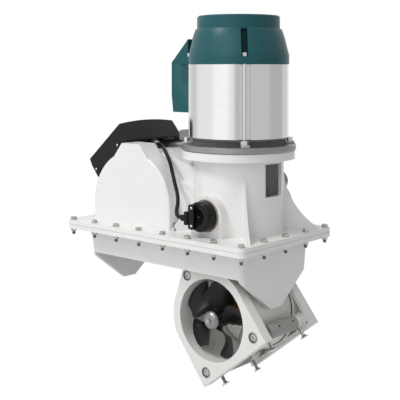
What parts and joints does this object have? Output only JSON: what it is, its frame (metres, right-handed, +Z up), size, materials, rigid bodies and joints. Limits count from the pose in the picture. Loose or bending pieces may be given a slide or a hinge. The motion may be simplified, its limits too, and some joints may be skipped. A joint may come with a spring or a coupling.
{
  "type": "retractable bow thruster",
  "caption": "Retractable bow thruster: a propeller in a tunnel that swings down out of a hull casing under an upright electric motor.",
  "frame": {"origin": "middle of the flange rectangle, on the underside of the lower flange, where the unit meets its hull opening", "axes": "+X along the boat from the doghouse side towards the motor side, +Y across the boat along the propeller axis, away from the sensor side, +Z up"},
  "size_m": [0.5665, 0.344, 0.8484],
  "materials": {
    "gelcoat": "gloss",
    "plate_grp": "satin",
    "gasket": "matt",
    "stainless": "polished",
    "steel": "ground",
    "dark_ring": "machined",
    "motor_can": "brushed",
    "shield": "cast",
    "teal": "satin",
    "black_plastic": "matt",
    "black_rubber": "matt",
    "red_rubber": "matt",
    "bronze": "cast",
    "brass": "turned",
    "copper": "turned",
    "zinc": "cast",
    "bush_plastic": "matt"
  },
  "bodies": {
    "housing": {"lower_casing": "gelcoat", "flange_gasket": "gelcoat", "upper_housing": "gelcoat", "flange_bolts": "stainless", "flange_washers": "stainless", "flange_nuts": "stainless", "motor_mount_ring": "dark_ring", "drive_end_shield": "shield", "mount_bolts": "stainless", "motor_body": "motor_can", "motor_tie_rods": "stainless", "upper_end_shield": "shield", "motor_bearings": "steel", "motor_cap": "teal", "controller_box": "teal", "field_poles": "steel", "brush_ring": "bush_plastic", "swing_bushes": "bush_plastic", "link_bracket": "stainless", "sensor_gasket": "gasket", "swing_sensor": "black_plastic", "sensor_plug": "black_plastic", "sensor_screws": "stainless", "control_box_cover": "black_plastic", "control_box_base": "black_plastic", "cable_gland": "brass", "gland_ferrule": "stainless", "terminal_block": "black_plastic", "sensor_cable": "black_rubber", "power_cable_black": "black_rubber", "power_cable_red": "red_rubber", "swing_drive_case": "shield", "swing_drive_cover": "shield", "swing_motor": "steel"},
    "rotor": {"motor_shaft": "steel", "motor_rotor": "steel", "commutator": "copper", "motor_coupling": "steel"},
    "leg": {"drive_leg": "bronze", "swing_pins": "stainless", "drive_bearings": "steel", "swing_sector": "steel", "spider_retainer": "steel"},
    "leg_shaft": {"leg_shaft": "steel", "bevel_pinion": "steel"},
    "propeller": {"propeller_shaft": "stainless", "bevel_wheel": "steel", "propeller": "black_plastic", "propeller_anode": "zinc", "anode_screw": "stainless"},
    "tunnel": {"tunnel_tube": "gelcoat", "front_tunnel_plate": "plate_grp", "rear_tunnel_plate": "plate_grp", "tunnel_tie_rods": "stainless", "hatch_sleeves": "plate_grp", "hatch_studs": "stainless", "tunnel_spider": "steel", "coupler_pin": "stainless"},
    "tilt_link": {"tilt_link": "stainless"},
    "swing_pinion": {"swing_pinion": "steel"}
  },
  "joints": [
    {"name": "leg_swing", "type": "hinge", "parent": "housing", "child": "leg", "pos_m": [0.132, 0, 0.068], "axis": [0, 1, 0], "range_deg": [0, 90]},
    {"name": "tunnel_tilt", "type": "hinge", "parent": "leg", "child": "tunnel", "pos_m": [0.132, 0, -0.17], "axis": [0, 1, 0], "range_deg": [-51.8, 0]},
    {"name": "link_swing", "type": "hinge", "parent": "housing", "child": "tilt_link", "pos_m": [0.1599, 0, 0.0978], "axis": [0, 1, 0], "range_deg": [0, 102.66]},
    {"name": "pinion_turn", "type": "hinge", "parent": "housing", "child": "swing_pinion", "pos_m": [0.132, 0, 0.1205], "axis": [0, 1, 0], "range_deg": [-540, 0]},
    {"name": "motor_spin", "type": "hinge", "parent": "housing", "child": "rotor", "pos_m": [0.132, 0, 0.3], "axis": [0, 0, 1], "continuous": true},
    {"name": "leg_shaft_spin", "type": "hinge", "parent": "leg", "child": "leg_shaft", "pos_m": [0.132, 0, -0.05], "axis": [0, 0, 1], "continuous": true},
    {"name": "propeller_spin", "type": "hinge", "parent": "leg", "child": "propeller", "pos_m": [0.132, 0, -0.17], "axis": [0, 1, 0], "continuous": true}
  ],
  "couplings": [
    {"joint": "tunnel_tilt", "follows": "leg_swing", "ratio": -0.57556},
    {"joint": "link_swing", "follows": "leg_swing", "ratio": 1.1407},
    {"joint": "pinion_turn", "follows": "leg_swing", "ratio": -6},
    {"joint": "leg_shaft_spin", "follows": "motor_spin", "ratio": 1},
    {"joint": "propeller_spin", "follows": "motor_spin", "ratio": -0.66667}
  ]
}
